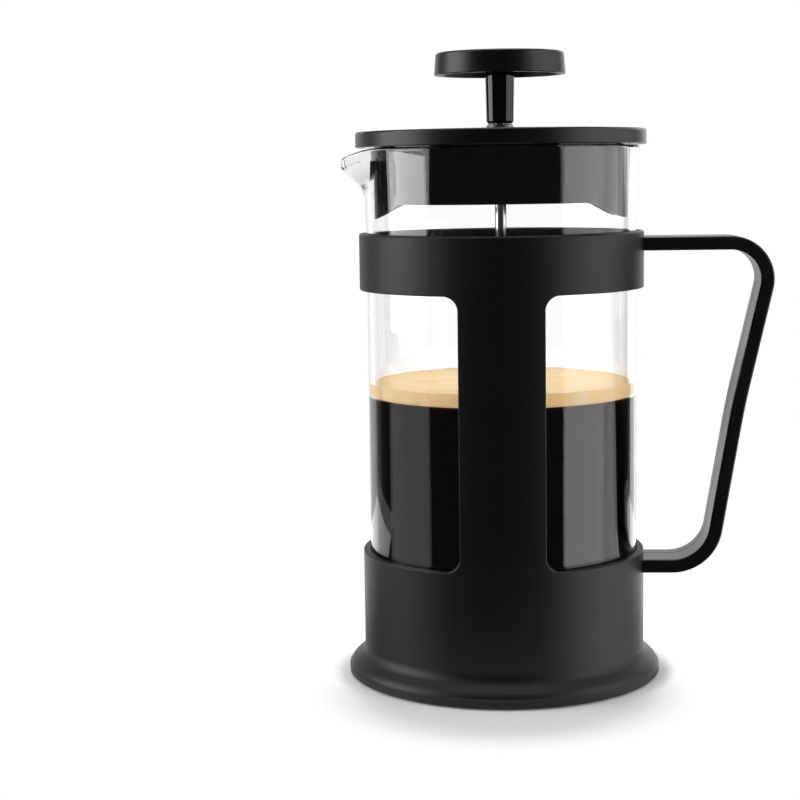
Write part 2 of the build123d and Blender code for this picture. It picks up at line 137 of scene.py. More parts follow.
class Graph:
    """The node tree of one material or world, with the few patterns that the finishes share."""

    def __init__(self, name: str, world: bool = False) -> None:
        """Make an empty material, or an empty world.

        Args:
            name: Its name.
            world: Whether it is a world, where the place is the direction of sight.
        """
        self.world = world
        self.owner = (bpy.data.worlds if world else bpy.data.materials).new(name)
        self.owner.use_nodes = True
        self.tree = self.owner.node_tree
        self.tree.nodes.clear()
        self.place = self.add("ShaderNodeTexCoord", output="Generated" if world else "Object")

    def add(
        self,
        kind: str,
        settings: Optional[dict[str, Any]] = None,
        inputs: Optional[dict[Union[str, int], Any]] = None,
        output: Union[str, int] = 0,
    ) -> Wire:
        """Add a node of any type.

        Args:
            kind: The node's type.
            settings: Its properties; "stops" lists a colour ramp's (position, colour) pairs.
            inputs: A wire or a constant for each socket, by name or index.
            output: The output that is wanted.

        Returns:
            That output as a wire.
        """
        node = self.tree.nodes.new(kind)
        for key, value in (settings or {}).items():
            if key == "stops":
                self._set_stops(node, value)
            else:
                setattr(node, key, value)
        for key, value in (inputs or {}).items():
            if isinstance(value, Wire):
                self.tree.links.new(value.socket, node.inputs[key])
            else:
                node.inputs[key].default_value = value
        return Wire(self, node.outputs[output])

    @staticmethod
    def _set_stops(node: bpy.types.Node, stops: Sequence[tuple[float, Colour]]) -> None:
        """Fill a colour ramp.

        Args:
            node: The ramp's node.
            stops: Pairs of position and colour, from low to high.
        """
        elements = node.color_ramp.elements
        while len(elements) < len(stops):
            elements.new(1.0)
        for element, (position, colour) in zip(elements, stops):
            element.position = position
            element.color = (*colour, 1.0)

    def axis(self, name: str, vector: Optional[Wire] = None) -> Wire:
        """One coordinate, "X", "Y" or "Z", of a vector or of the place on the piece."""
        return self.add("ShaderNodeSeparateXYZ", None, {0: vector or self.place}, name)

    def radius(self, middle_y: float = 0.0) -> Wire:
        """The distance from the Z axis, or from an upright line at X = 0 and some other Y."""
        x, y = self.axis("X"), self.axis("Y") - middle_y
        return (x * x + y * y) ** 0.5

    def angle(self) -> Wire:
        """The angle round the Z axis, in radians."""
        return self.add("ShaderNodeMath", {"operation": "ARCTAN2"}, {0: self.axis("Y"), 1: self.axis("X")})

    def wrapped(self, around: float, along: float, outward: float = 0.0) -> Wire:
        """The place in cylinder terms, stretched, so that a noise on it makes streaks.

        Args:
            around: Factor on the unit circle's coordinates, for detail round the axis.
            along: Factor on the height.
            outward: Factor on the distance from the axis.

        Returns:
            A vector wire: the unit circle's point scaled, and height plus distance scaled.
        """
        r = self.radius() + 1e-5
        parts = {
            0: self.axis("X") / r * around,
            1: self.axis("Y") / r * around,
            2: self.axis("Z") * along + r * outward,
        }
        return self.add("ShaderNodeCombineXYZ", None, parts)

    def stretched(self, factors: Point) -> Wire:
        """The place with each coordinate multiplied by its own factor."""
        return self.add("ShaderNodeVectorMath", {"operation": "MULTIPLY"}, {0: self.place, 1: factors})

    def noise(
        self,
        scale: float,
        detail: float = 2.0,
        vector: Optional[Wire] = None,
        bend: float = 0.0,
    ) -> Wire:
        """Smooth noise from 0 to 1.

        Args:
            scale: Its frequency in cycles for each unit of the vector.
            detail: How many finer layers it has.
            vector: Where it is read; the place on the piece if left out.
            bend: How much it distorts itself.

        Returns:
            The noise as a value.
        """
        inputs = {"Vector": vector or self.place, "Scale": scale, "Detail": detail, "Distortion": bend}
        return self.add("ShaderNodeTexNoise", None, inputs, "Fac")

    def cells(self, scale: float, output: str = "Distance") -> Wire:
        """Voronoi cells: the distance to the nearest point, or that cell's random colour."""
        inputs = {"Vector": self.place, "Scale": scale}
        return self.add("ShaderNodeTexVoronoi", None, inputs, output)

    def specks(self, spacing: float, size: float, share: float) -> Wire:
        """Round specks of dust: near the centre of a cell, and only in some of the cells.

        Args:
            spacing: The distance between cells, in metres.
            size: A speck's radius, in metres.
            share: How many of the cells have one, from 0 to 1.

        Returns:
            One on a speck and zero elsewhere.
        """
        near = 1.0 - self.cells(1 / spacing).above(size / spacing)
        chosen = self.axis("X", self.cells(1 / spacing, "Color")).above(1 - share)
        return near * chosen

    def fade(self, value: Wire, low: float, high: float) -> Wire:
        """A smooth step: 0 at low and 1 at high, which may be the smaller of the two."""
        inputs = {"Value": value, "From Min": low, "From Max": high}
        return self.add("ShaderNodeMapRange", {"interpolation_type": "SMOOTHSTEP"}, inputs)

    def near(self, value: Wire, centre: float, width: float) -> Wire:
        """One at the centre, smoothly down to zero at a width from it."""
        return self.fade((value - centre).size(), width, 0.0)

    def blend(self, share: Value, first: Union[Wire, Colour], second: Union[Wire, Colour]) -> Wire:
        """Mix two colours.

        Args:
            share: How much of the second colour, from 0 to 1.
            first: A colour or a wire.
            second: A colour or a wire.

        Returns:
            The mixed colour.
        """
        ends = [c if isinstance(c, Wire) else (*c, 1.0) for c in (first, second)]
        settings = {"data_type": "RGBA", "clamp_factor": True}
        return self.add("ShaderNodeMix", settings, {0: share, 6: ends[0], 7: ends[1]}, 2)

    def relief(self, height_mm: Wire) -> Wire:
        """A normal from a height in millimetres."""
        return self.add("ShaderNodeBump", None, {"Height": height_mm, "Distance": MM, "Strength": 1.0})

    def surface(self, **sockets: Any) -> Wire:
        """A Principled shader; a socket's name is written with _ for each space."""
        inputs = {key.replace("_", " "): value for key, value in sockets.items()}
        for key, value in inputs.items():
            if isinstance(value, tuple) and len(value) == 3 and "Radius" not in key:
                inputs[key] = (*value, 1.0)
        return self.add("ShaderNodeBsdfPrincipled", None, inputs, "BSDF")

    def close(self, shader: Wire) -> Any:
        """Give the shader to an output node, and return the material or world."""
        node = self.tree.nodes.new("ShaderNodeOutputWorld" if self.world else "ShaderNodeOutputMaterial")
        self.tree.links.new(shader.socket, node.inputs["Surface"])
        return self.owner


def tint(colour: Colour, factor: float) -> Colour:
    """A colour made lighter or darker by a factor."""
    return (colour[0] * factor, colour[1] * factor, colour[2] * factor)


# -------------------------------------------------------------------- finishes


@dataclass(frozen=True)
class GrainedPlastic:
    """Matte moulded plastic with a spark-eroded grain, rubbed a little smoother at its upper edges, where a
    highlight is also painted into its colour.

    Attributes:
        name: The material's name.
        colour: Its base colour.
        roughness: Its mean roughness.
        grain_mm: The grain's pitch.
        rubbed_and_sheen_heights: Heights, in metres, of edges that hands and cloths polish, and where a
            highlight is painted lighter into the colour.
        rubbed_and_sheen_width: How far from such a height the polish and the painted highlight reach.
        dust_colour: The colour of a speck of dust on it.
    """

    name: str
    colour: Colour = (0.0052, 0.0050, 0.0048)
    roughness: float = 0.47
    grain_mm: float = 0.42
    rubbed_and_sheen_heights: tuple[float, ...] = ()
    rubbed_and_sheen_width: float = 0.45 * MM
    dust_colour: Colour = (0.32, 0.31, 0.30)

    def material(self) -> bpy.types.Material:
        """Grain from two noises, mottled colour, dust specks, and smoother rubbed edges with a painted
        highlight that makes them lighter.
        """
        g = Graph(self.name)
        grain = g.noise(1 / (self.grain_mm * MM), 2.0)
        fine = g.noise(2.6 / (self.grain_mm * MM), 1.0)
        cloudy = g.noise(38.0, 4.0)
        dust = g.specks(7 * MM, 0.16 * MM, 0.16)
        rubbed_and_sheen: Value = dust * 0.0
        for height in self.rubbed_and_sheen_heights:
            rubbed_and_sheen = rubbed_and_sheen + g.near(g.axis("Z"), height, self.rubbed_and_sheen_width)
        rubbed_and_sheen = rubbed_and_sheen * g.fade(g.noise(160.0, 3.0), 0.35, 0.7)
        colour = g.blend(cloudy, tint(self.colour, 0.85), tint(self.colour, 1.25))
        colour = g.blend(g.fade(grain, 0.45, 0.75) * 0.7, colour, tint(self.colour, 2.3))
        # painted highlight: the rubbed edges' colour is lightened as if light caught them; their lower
        # roughness below is real polish
        colour = g.blend(rubbed_and_sheen * 0.35, colour, tint(self.colour, 4.0))
        colour = g.blend(dust * 0.5, colour, self.dust_colour)
        rough = self.roughness + (grain - 0.5) * 0.16 + (cloudy - 0.5) * 0.08 - rubbed_and_sheen * 0.12
        relief = g.relief(grain * 0.034 + fine * 0.012 + dust * 0.03)
        return g.close(g.surface(Base_Color=colour, Roughness=rough, IOR=1.49, Normal=relief))


@dataclass(frozen=True)
class SatinPlastic:
    """Smooth satin plastic, as on a handle that is held all day: faint flow marks and fine scuffs.

    Attributes:
        name: The material's name.
        colour: Its base colour.
        roughness: Its least roughness.
        scuff_colour: The colour of a scuff, and of a speck of dust.
    """

    name: str
    colour: Colour = (0.0160, 0.0160, 0.0160)
    roughness: float = 0.26
    scuff_colour: Colour = (0.24, 0.235, 0.23)

    def material(self) -> bpy.types.Material:
        """Low, wide ripples, fine scuffs that follow the height, and a little dust."""
        g = Graph(self.name)
        ripple = g.noise(55.0, 2.0)
        scuff = g.fade(g.noise(1.0, 4.0, g.stretched((5200.0, 900.0, 260.0))), 0.62, 0.86)
        handled = g.fade(g.noise(26.0, 3.0), 0.42, 0.68)
        dust = g.specks(9 * MM, 0.14 * MM, 0.14)
        colour = g.blend(handled * 0.5, tint(self.colour, 0.9), tint(self.colour, 1.5))
        colour = g.blend(scuff * 0.14 + dust * 0.4, colour, self.scuff_colour)
        rough = self.roughness + handled * 0.06 + scuff * 0.12 + (ripple - 0.5) * 0.05
        relief = g.relief(ripple * 0.012 + scuff * 0.003 + g.noise(2600.0) * 0.0035)
        return g.close(g.surface(Base_Color=colour, Roughness=rough, IOR=1.5, Normal=relief))


@dataclass(frozen=True)
class PolishedPlastic:
    """Glossy moulded plastic with a faint orange peel, hairline marks and specks.

    Attributes:
        name: The material's name.
        colour: Its base colour.
        roughness: Its least roughness.
        ior: Its index of refraction.
        dust_colour: The colour of a hairline mark, and of a speck of dust.
    """

    name: str
    colour: Colour = (0.0030, 0.0030, 0.0033)
    roughness: float = 0.055
    ior: float = 1.52
    dust_colour: Colour = (0.34, 0.33, 0.32)

    def peel(self, g: Graph) -> Wire:
        """Orange peel: a slow noise for the height."""
        return g.noise(240.0, 1.0)

    def smears(self, g: Graph) -> Wire:
        """Where fingers have smeared the gloss, from 0 to 1."""
        return g.fade(g.noise(45.0, 4.0, None, 0.6), 0.5, 0.8)

    def gloss(self, g: Graph, hairline: Value = 0.0) -> Wire:
        """The polished shader: peel in its relief, smears and specks in its colour and roughness.

        Args:
            g: The material's graph.
            hairline: Where the fine scratches are, from 0 to 1.

        Returns:
            The shader.
        """
        smear = self.smears(g)
        dust = g.specks(8 * MM, 0.17 * MM, 0.2)
        colour = g.blend(smear * 0.4, self.colour, tint(self.colour, 2.2))
        colour = g.blend(dust * 0.6 + hairline * 0.05, colour, self.dust_colour)
        rough = self.roughness + smear * 0.05 + hairline * 0.10 + dust * 0.4
        relief = g.relief(self.peel(g) * 0.0016 + dust * 0.02)
        return g.surface(Base_Color=colour, Roughness=rough, IOR=self.ior, Normal=relief)

    def material(self) -> bpy.types.Material:
        """The gloss, with hairlines round the axis."""
        g = Graph(self.name)
        return g.close(self.gloss(g, g.fade(g.noise(1.0, 3.0, g.wrapped(18.0, 5200.0)), 0.66, 0.9)))


@dataclass(frozen=True)
class RibbedPlastic(PolishedPlastic):
    """Polished plastic whose slotted part, towards -X, has rounded, duller ribs.

    Attributes:
        half_angle_deg: How far the dull ribs reach on each side of -X.
        pitch_deg: The angle from rib to rib.
        top: Height at which the ribs end.
        soft_deg: Half the angle over which the finish goes over into the gloss.
        soft: Half the height over which it does so.
        groove_tint: Factor on the colour between two ribs.
        crest_tint: Factor on the colour of a rib's crest.
    """

    half_angle_deg: float = 33.0
    pitch_deg: float = 5.0
    top: float = 185.0 * MM
    soft_deg: float = 0.3
    soft: float = 0.3 * MM
    groove_tint: float = 9.0
    crest_tint: float = 1.5

    def material(self) -> bpy.types.Material:
        """The polished finish, mixed with a dull one inside the slotted part.

        A rib's height is |cos(pi off / pitch)|, where off is the angle from -X.
        """
        g = Graph(self.name)
        off = math.pi - g.angle().size()
        outside = math.radians(self.half_angle_deg + self.soft_deg)
        inside = math.radians(self.half_angle_deg - self.soft_deg)
        ribbed = g.fade(off, outside, inside)
        ribbed = ribbed * g.fade(g.axis("Z"), self.top + self.soft, self.top - self.soft)
        rib = (off * (math.pi / math.radians(self.pitch_deg)) + 0.5 * math.pi).sine().size() * ribbed
        ribs = g.surface(
            Base_Color=g.blend(rib, tint(self.colour, self.groove_tint), tint(self.colour, self.crest_tint)),
            Roughness=0.6 + self.smears(g) * 0.1,
            IOR=self.ior,
            Specular_IOR_Level=0.03,
            Normal=g.relief(rib * 0.5 + self.peel(g) * 0.003),
        )
        return g.close(g.add("ShaderNodeMixShader", None, {0: ribbed, 1: self.gloss(g), 2: ribs}))


@dataclass(frozen=True)
class BlownGlass:
    """Clear borosilicate glass with the faint unevenness of a blown wall.

    Attributes:
        name: The material's name.
        film: The colour of light that has crossed the thin film left by washing.
        ior: Its index of refraction.
    """

    name: str
    film: Colour = (0.985, 0.992, 0.988)
    ior: float = 1.472

    def material(self) -> bpy.types.Material:
        """Clear refracting glass; slow waves in the wall and a trace of film in its colour."""
        g = Graph(self.name)
        wave = g.noise(1.0, 2.0, g.wrapped(2.2, 34.0))
        film = g.fade(g.noise(30.0, 4.0, None, 0.4), 0.45, 0.8)
        shader = g.surface(
            Base_Color=g.blend(film, WHITE, self.film),
            Roughness=0.0,
            IOR=self.ior,
            Transmission_Weight=1.0,
            Normal=g.relief(wave * 0.006),
        )
        return g.close(shader)


@dataclass(frozen=True)
class Silicone:
    """Dark silicone rubber: dull, slightly dusty, with a fine moulded texture.

    Attributes:
        name: The material's name.
        colour: Its base colour.
        dust_colour: Its colour where dust gathers.
        roughness: Its mean roughness.
    """

    name: str
    colour: Colour = (0.045, 0.045, 0.046)
    dust_colour: Colour = (0.16, 0.155, 0.15)
    roughness: float = 0.72

    def material(self) -> bpy.types.Material:
        """Fine pits and pale dust that gathers in patches."""
        g = Graph(self.name)
        pits = g.noise(2600.0, 2.0)
        dusty = g.fade(g.noise(110.0, 5.0), 0.45, 0.75)
        colour = g.blend(dusty * 0.35, self.colour, self.dust_colour)
        rough = self.roughness + (pits - 0.5) * 0.2
        return g.close(g.surface(Base_Color=colour, Roughness=rough, IOR=1.41, Normal=g.relief(pits * 0.02)))


class Lay(Enum):
    """Which way a metal's tool marks run."""

    ROUND = "rings about the axis"
    ALONG = "lines along the axis"
    ROLLED = "straight lines across the sheet"


@dataclass(frozen=True)
class WorkedMetal:
    """Bare metal with the marks of how it was made.

    Attributes:
        name: The material's name.
        colour: Its reflection's colour.
        roughness: Its mean roughness.
        lay: Which way the marks run.
        mark_um: The marks' height in thousandths of a millimetre.
    """

    name: str
    colour: Colour = (0.62, 0.62, 0.63)
    roughness: float = 0.24
    lay: Lay = Lay.ROUND
    mark_um: float = 1.6

    def _marks(self, g: Graph) -> Wire:
        """Noise drawn out along the lay."""
        if self.lay is Lay.ROUND:
            return g.noise(1.0, 3.0, g.wrapped(2.0, 9000.0, 9000.0))
        if self.lay is Lay.ALONG:
            return g.noise(1.0, 3.0, g.wrapped(26.0, 60.0))
        return g.noise(1.0, 3.0, g.stretched((120.0, 9000.0, 9000.0)))

    def material(self) -> bpy.types.Material:
        """Tool marks in the relief and the roughness, and a faint stain in the colour."""
        g = Graph(self.name)
        marks = self._marks(g)
        stain = g.fade(g.noise(70.0, 4.0, None, 0.5), 0.45, 0.85)
        scratch = g.fade(g.noise(1.0, 2.0, g.stretched((900.0, 2600.0, 700.0))), 0.68, 0.9)
        colour = g.blend(stain * 0.35, self.colour, tint(self.colour, 0.72))
        rough = self.roughness + (marks - 0.5) * 0.18 + stain * 0.08 + scratch * 0.1
        relief = g.relief(marks * (self.mark_um * 0.001) + scratch * 0.0015)
        shader = g.surface(Base_Color=colour, Metallic=1.0, Roughness=rough, Normal=relief)
        return g.close(shader)


@dataclass(frozen=True)
class WovenWire:
    """Plain-woven stainless wire cloth: wires over and under each other, with painted shade in the holes.

    Attributes:
        name: The material's name.
        pitch_mm: The distance from wire to wire.
        colour: The wires' colour.
        shaded_hole: The colour of the painted shade in the holes.
        stain: The colour of old coffee oil.
    """

    name: str
    pitch_mm: float = 0.62
    colour: Colour = (0.66, 0.65, 0.63)
    shaded_hole: Colour = (0.035, 0.033, 0.031)
    stain: Colour = (0.22, 0.15, 0.09)

    def material(self) -> bpy.types.Material:
        """Two sets of waves along X and Y; the upper wire alternates as in a plain weave; the holes get
        painted shade.
        """
        g = Graph(self.name)
        turn = math.pi / (self.pitch_mm * MM)
        x, y = g.axis("X") * turn, g.axis("Y") * turn
        warp, weft = x.sine().size(), y.sine().size()
        over = (x * 0.5).sine() * (y * 0.5).sine()
        crown = g.fade(over, -0.25, 0.25)
        wires = (warp * crown).largest(weft * (1.0 - crown)).largest(warp * weft * 0.6)
        shaded_hole = g.fade(wires, 0.42, 0.2)
        oil = g.fade(g.noise(60.0, 4.0), 0.45, 0.8)
        # painted shade: the holes are coloured dark instead of showing what lies behind them
        colour = g.blend(shaded_hole, self.colour, self.shaded_hole)
        colour = g.blend(oil * 0.25, colour, self.stain)
        rough = 0.3 + oil * 0.15 + shaded_hole * 0.3
        relief = g.relief(wires * 0.16)
        return g.close(g.surface(Base_Color=colour, Metallic=0.92, Roughness=rough, Normal=relief))


@dataclass(frozen=True)
class BrewedCoffee:
    """Black coffee: almost opaque, browner just under the foam.

    Attributes:
        name: The material's name.
        surface_height: Height of its surface, in metres.
        deep: Its colour in the depth.
        thin: Its colour at the surface.
        brown_depth: How far down the browner colour reaches.
        ior: Its index of refraction, above water's, for mirrored light as strong as dark coffee shows.
    """

    name: str
    surface_height: float
    deep: Colour = (0.0035, 0.0018, 0.0012)
    thin: Colour = (0.045, 0.016, 0.006)
    brown_depth: float = 1.6 * MM
    ior: float = 1.57

    def material(self) -> bpy.types.Material:
        """Glossy dark liquid, lighter and redder in its top layer."""
        g = Graph(self.name)
        rise = g.fade(g.axis("Z"), self.surface_height - self.brown_depth, self.surface_height)
        drift = g.noise(70.0, 3.0, g.stretched((1.0, 1.0, 0.35)))
        colour = g.blend(rise * (0.35 + drift * 0.5), self.deep, self.thin)
        rough = 0.02 + g.fade(drift, 0.5, 0.9) * 0.03
        relief = g.relief(drift * 0.001)
        return g.close(g.surface(Base_Color=colour, Roughness=rough, IOR=self.ior, Normal=relief))


@dataclass(frozen=True)
class CoffeeFoam:
    """Tan foam: fine bubbles, paler streaks where it was stirred, darker where it is thin.

    A painted glow in its own colours is added as emission, so its side against the glass is as bright as its
    top.

    Attributes:
        name: The material's name.
        body: Its main colour.
        pale: The colour of its streaks and of its bubbles' skins.
        brown: Its colour where it is thin.
        body_painted_glow: The colour of the painted glow of its body.
        pale_painted_glow: The colour of the painted glow of its streaks.
        painted_glow_strength: How strong that painted glow is.
        small_bubble: The small bubbles' pitch.
        large_bubble: The large bubbles' pitch.
    """

    name: str
    body: Colour = (0.95, 0.72, 0.40)
    pale: Colour = (1.0, 0.88, 0.62)
    brown: Colour = (0.74, 0.44, 0.18)
    body_painted_glow: Colour = (1.0, 0.62, 0.28)
    pale_painted_glow: Colour = (1.0, 0.72, 0.38)
    painted_glow_strength: float = 0.42
    small_bubble: float = 0.75 * MM
    large_bubble: float = 2.6 * MM

    def material(self) -> bpy.types.Material:
        """Swirled colour from bent noise, bubbles of two sizes in the relief, and a painted glow."""
        g = Graph(self.name)
        swirl = g.noise(34.0, 5.0, g.stretched((1.0, 1.7, 0.6)), 2.4)
        patch = g.noise(85.0, 3.0, None, 1.2)
        small = g.cells(1 / self.small_bubble)
        large = g.cells(1 / self.large_bubble)
        ringed = g.near(large, 0.3, 0.07) * g.axis("X", g.cells(1 / self.large_bubble, "Color")).above(0.8)
        streak = g.fade(swirl, 0.42, 0.66)
        colour = g.blend(streak, self.body, self.pale)
        colour = g.blend(g.fade(patch, 0.56, 0.8) * 0.55, colour, self.brown)
        colour = g.blend(g.fade(small, 0.5, 0.9) * 0.22 + ringed * 0.3, colour, self.pale)
        rough = 0.46 + (patch - 0.5) * 0.2
        relief = g.relief(g.fade(small, 0.1, 0.9) * 0.07 + ringed * 0.12 + swirl * 0.2)
        shader = g.surface(
            Base_Color=colour,
            Roughness=rough,
            IOR=1.34,
            Subsurface_Weight=0.3,
            Subsurface_Radius=(2.0, 1.1, 0.5),
            Subsurface_Scale=0.8 * MM,
            # painted light: the foam glows in its own colours though it is no lamp
            Emission_Color=g.blend(streak, self.body_painted_glow, self.pale_painted_glow),
            Emission_Strength=self.painted_glow_strength,
            Normal=relief,
        )
        return g.close(shader)


# -------------------------------------------------------------- mesh building


def grid_faces(rows: int, columns: int, closed_rows: bool) -> Array:
    """Quads of a grid whose columns close on themselves.

    Args:
        rows: Points along the profile or path.
        columns: Points round it.
        closed_rows: Whether the last row joins the first.

    Returns:
        An (n, 4) array; corner (i, j) has index i * columns + j.
    """
    i, j = np.meshgrid(np.arange(rows if closed_rows else rows - 1), np.arange(columns), indexing="ij")
    i2, j2 = (i + 1) % rows, (j + 1) % columns
    corners = (i * columns + j, i * columns + j2, i2 * columns + j2, i2 * columns + j)
    return np.stack(corners, axis=-1).reshape(-1, 4)


def make_piece(name: str, points: Array, faces: Array, crease_deg: float = 38.0) -> bpy.types.Object:
    """Put points and faces into a new object, weld its poles and turn its faces outwards.

    Args:
        name: The piece's name.
        points: Any array whose last axis is x, y, z in metres.
        faces: An (n, 4) array of indices.
        crease_deg: Edges sharper than this stay sharp in the shading.

    Returns:
        The object, at the origin.
    """
    mesh = bpy.data.meshes.new(name)
    mesh.from_pydata(points.reshape(-1, 3).tolist(), [], faces.tolist())
    shell = bmesh.new()
    shell.from_mesh(mesh)
    bmesh.ops.remove_doubles(shell, verts=shell.verts, dist=1e-7)
    bmesh.ops.dissolve_degenerate(shell, edges=shell.edges, dist=1e-8)
    bmesh.ops.recalc_face_normals(shell, faces=shell.faces)
    shell.to_mesh(mesh)
    shell.free()
    mesh.polygons.foreach_set("use_smooth", np.ones(len(mesh.polygons), dtype=bool))
    mesh.set_sharp_from_angle(angle=math.radians(crease_deg))
    piece = bpy.data.objects.new(name, mesh)
    bpy.context.scene.collection.objects.link(piece)
    return piece


def arc(centre: tuple[float, float], radius: float, start_deg: float, end_deg: float, steps: int) -> Array:
    """Points of an arc in the (radius, height) plane: centre + radius (cos a, sin a)."""
    a = np.radians(np.linspace(start_deg, end_deg, steps))
    return np.stack([centre[0] + radius * np.cos(a), centre[1] + radius * np.sin(a)], axis=1)


def rounded(corners: Sequence[Point], steps: int) -> Array:
    """A closed polygon whose corners are replaced by arcs.

    Each corner P with unit directions u and v to its neighbours gets the circle of its radius that
    touches both sides; the arc is a turn from one touching point to the other about that circle's centre.

    Args:
        corners: (x, y, radius) of each corner.
        steps: Points on each arc.

    Returns:
        An (n, 2) array of points.
    """
    data = np.array(corners, dtype=float)
    p, r = data[:, :2], np.maximum(data[:, 2], 1e-9)
    u = np.roll(p, 1, axis=0) - p
    v = np.roll(p, -1, axis=0) - p
    u /= np.linalg.norm(u, axis=1, keepdims=True)
    v /= np.linalg.norm(v, axis=1, keepdims=True)
    half = 0.5 * np.arccos(np.clip((u * v).sum(axis=1), -0.999999, 0.999999))
    touch = (r / np.tan(half))[:, None]
    middle = (u + v) / np.linalg.norm(u + v, axis=1, keepdims=True)
    centre = p + middle * (r / np.sin(half))[:, None]
    a = (p + u * touch - centre) / r[:, None]
    b = (p + v * touch - centre) / r[:, None]
    sweep = (math.pi - 2 * half)[:, None, None]
    s = np.linspace(0, 1, steps)[None, :, None]
    turned = (np.sin((1 - s) * sweep) * a[:, None] + np.sin(s * sweep) * b[:, None]) / np.sin(sweep)
    return (centre[:, None] + r[:, None, None] * turned).reshape(-1, 2)


def spun(profile: Array, columns: int) -> Array:
    """Carry a (radius, height) profile round Z: x = r cos a, y = r sin a, z = height."""
    a = np.linspace(0, TURN, columns, endpoint=False)
    r, z = profile[:, :1], profile[:, 1:]
    return np.stack([r * np.cos(a), r * np.sin(a), np.broadcast_to(z, (len(profile), columns))], axis=-1)


def wire_along(path: Array, outward: Array, radius: float, sides: int) -> Array:
    """A round wire along a closed path.

    The section's circle is spanned by the outward direction, made square to the path's tangent, and
    by their cross product: p + radius (cos t n + sin t b).

    Args:
        path: (n, 3) points of the closed path.
        outward: (n, 3) directions roughly square to it.
        radius: The wire's radius.
        sides: Points round the wire.

    Returns:
        An (n, sides, 3) array.
    """
    tangent = np.roll(path, -1, axis=0) - np.roll(path, 1, axis=0)
    tangent /= np.linalg.norm(tangent, axis=1, keepdims=True)
    n = outward - (outward * tangent).sum(axis=1, keepdims=True) * tangent
    n /= np.linalg.norm(n, axis=1, keepdims=True)
    b = np.cross(tangent, n)
    t = np.linspace(0, TURN, sides, endpoint=False)[None, :, None]
    return path[:, None] + radius * (np.cos(t) * n[:, None] + np.sin(t) * b[:, None])


def seeded_waves(x: Array, y: Array, seed: int, count: int, length: float) -> Array:
    """A gentle uneven surface from -1 to 1: the mean of sine waves in seeded random directions.

    Args:
        x: First coordinates, in metres.
        y: Second coordinates, in metres.
        seed: The random seed.
        count: How many waves are added.
        length: Their mean wavelength, in metres.

    Returns:
        The height at each point.
    """
    rng = np.random.default_rng(seed)
    heading = rng.uniform(0, TURN, count)
    phase = rng.uniform(0, TURN, count)
    number = TURN / (length * rng.uniform(0.6, 1.8, count))
    kx, ky = number * np.cos(heading), number * np.sin(heading)
    waves = np.sin(x[..., None] * kx + y[..., None] * ky + phase)
    return waves.sum(axis=-1) / math.sqrt(count)


def dress(node: str, material: bpy.types.Material) -> None:
    """Put a material in every slot of a CAD node.

    Args:
        node: The node's name.
        material: Its finish.
    """
    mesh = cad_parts[node].data
    if not mesh.materials:
        mesh.materials.append(material)
    for index in range(len(mesh.materials)):
        mesh.materials[index] = material


def settle(piece: bpy.types.Object, body: str, slot: str, material: bpy.types.Material, *nodes: str) -> None:
    """Give a new piece its finish and its body, and hide the CAD nodes that it stands for.

    Args:
        piece: The new piece.
        body: The CAD body that it moves with.
        slot: The record's material slot; not used.
        material: Its finish.
        nodes: The CAD nodes that it replaces.
    """
    piece.data.materials.append(material)
    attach(piece, body)
    if nodes:
        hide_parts(*nodes)
    log.info("%s: %d faces on %s", piece.name, len(piece.data.polygons), body)


# ------------------------------------------------------------------ the object


@dataclass
class Holder:
    """The plastic holder: frame, strap handle, screws, base plate and the two silicone rings.

    Attributes:
        flange_edge: Height of the foot flange's rim above the foot.
        ring_top: Height of the upper ring's top edge.
        foot: Height of the foot.
    """

    flange_edge: float = 3.0 * MM
    ring_top: float = field(default_factory=lambda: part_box("holder_frame")[1].z)
    foot: float = field(default_factory=lambda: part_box("holder_frame")[0].z)

    def build(self) -> None:
        """Dress the holder's nodes."""
        edges = (self.ring_top, self.foot + self.flange_edge)
        moulded = GrainedPlastic("frame_grained", rubbed_and_sheen_heights=edges).material()
        plain = GrainedPlastic("base_plate_plain", grain_mm=0.8, roughness=0.55).material()
        rubber = Silicone("silicone_dark").material()
        dress("holder_frame", moulded)
        dress("base_plate", plain)
        dress("handle", SatinPlastic("handle_satin").material())
        dress("handle_screws", WorkedMetal("screw_zinc", (0.66, 0.66, 0.68), 0.3).material())
        dress("anti_slip_ring", rubber)
        dress("beaker_cushion", rubber)
        log.info("holder: dressed")


